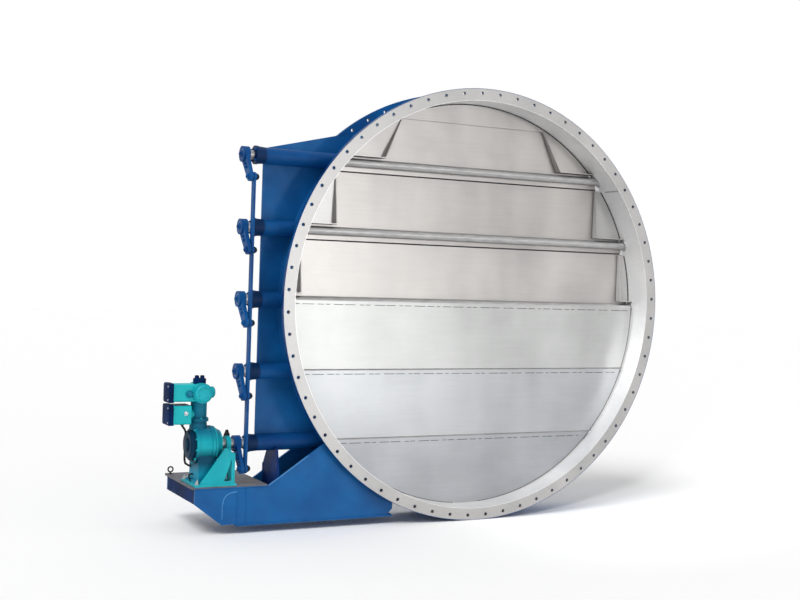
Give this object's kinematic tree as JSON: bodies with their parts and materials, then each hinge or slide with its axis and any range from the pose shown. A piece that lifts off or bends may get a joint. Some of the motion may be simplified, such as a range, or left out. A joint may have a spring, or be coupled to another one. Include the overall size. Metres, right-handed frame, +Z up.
{
  "type": "motorized multi-blade butterfly valve",
  "caption": "Large round flanged duct valve whose parallel blades turn together through side cranks and a tie rod, driven by a geared electric actuator on a side base",
  "frame": {"origin": "centre of the front flange face", "axes": "-Y looks out of the front flange along the duct, +Z is up, the actuator stands on the -X side"},
  "size_m": [3.719, 0.666, 3.0298],
  "materials": {
    "silver_sheet": "bright silver sheet",
    "bright_shaft": "bright turned steel",
    "blue_paint": "semi-gloss blue paint",
    "grey_plate": "dull grey-brown plate",
    "dark_cover": "dark navy paint",
    "teal_paint": "semi-gloss teal paint"
  },
  "bodies": {
    "valve_body": {"front_flange": "silver_sheet", "duct_shell": "silver_sheet", "rear_flange": "blue_paint", "upper_stop_crown": "silver_sheet", "upper_stop_left_2": "silver_sheet", "upper_stop_right_2": "silver_sheet", "upper_stop_left_3": "silver_sheet", "upper_stop_right_3": "silver_sheet", "wing_plate": "blue_paint", "bearing_tube_1": "blue_paint", "bearing_tube_2": "blue_paint", "bearing_tube_3": "blue_paint", "bearing_tube_4": "blue_paint", "bearing_tube_5": "blue_paint", "base_floor": "blue_paint", "base_front_plate": "blue_paint", "base_rear_plate": "blue_paint", "base_end_plate": "blue_paint", "base_side_plate": "blue_paint", "base_back_plate": "blue_paint", "base_cross_rib": "blue_paint", "base_top_plate": "grey_plate", "actuator_bed": "teal_paint", "gearbox_foot": "teal_paint", "gearbox_drum": "teal_paint", "drum_end_cap": "dark_cover", "gearbox_neck": "teal_paint", "motor_head": "teal_paint", "round_cover": "teal_paint", "upper_terminal_box": "teal_paint", "lower_terminal_box": "teal_paint", "bearing_stand": "teal_paint"},
    "blade_set_1": {"shaft_1": "bright_shaft", "blade_1": "silver_sheet", "crank_1": "blue_paint"},
    "blade_set_2": {"shaft_2": "bright_shaft", "blade_2": "silver_sheet", "crank_2": "blue_paint"},
    "blade_set_3": {"shaft_3": "bright_shaft", "blade_3_upper": "silver_sheet", "blade_3_lower": "silver_sheet", "crank_3": "blue_paint"},
    "blade_set_4": {"shaft_4": "bright_shaft", "blade_4": "silver_sheet", "crank_4": "blue_paint"},
    "blade_set_5": {"shaft_5": "bright_shaft", "blade_5": "silver_sheet", "crank_5": "blue_paint"},
    "tie_rod_body": {"tie_rod": "blue_paint"}
  },
  "joints": [
    {"name": "drive_shaft_5", "type": "hinge", "parent": "valve_body", "child": "blade_set_5", "pos_m": [0, 0.21, -0.946], "axis": [-1, 0, 0], "range_deg": [0, 90]},
    {"name": "shaft_1_turn", "type": "hinge", "parent": "valve_body", "child": "blade_set_1", "pos_m": [0, 0.21, 0.946], "axis": [-1, 0, 0], "range_deg": [0, 90]},
    {"name": "shaft_2_turn", "type": "hinge", "parent": "valve_body", "child": "blade_set_2", "pos_m": [0, 0.21, 0.473], "axis": [-1, 0, 0], "range_deg": [0, 90]},
    {"name": "shaft_3_turn", "type": "hinge", "parent": "valve_body", "child": "blade_set_3", "pos_m": [0, 0.21, 0], "axis": [-1, 0, 0], "range_deg": [0, 90]},
    {"name": "shaft_4_turn", "type": "hinge", "parent": "valve_body", "child": "blade_set_4", "pos_m": [0, 0.21, -0.473], "axis": [-1, 0, 0], "range_deg": [0, 90]},
    {"name": "tie_rod_turn", "type": "hinge", "parent": "blade_set_5", "child": "tie_rod_body", "pos_m": [-1.708, 0.09566, -1.09774], "axis": [-1, 0, 0], "range_deg": [-90, 0]}
  ],
  "couplings": [
    {"joint": "shaft_1_turn", "follows": "drive_shaft_5", "ratio": 1},
    {"joint": "shaft_2_turn", "follows": "drive_shaft_5", "ratio": 1},
    {"joint": "shaft_3_turn", "follows": "drive_shaft_5", "ratio": 1},
    {"joint": "shaft_4_turn", "follows": "drive_shaft_5", "ratio": 1},
    {"joint": "tie_rod_turn", "follows": "drive_shaft_5", "ratio": -1}
  ]
}
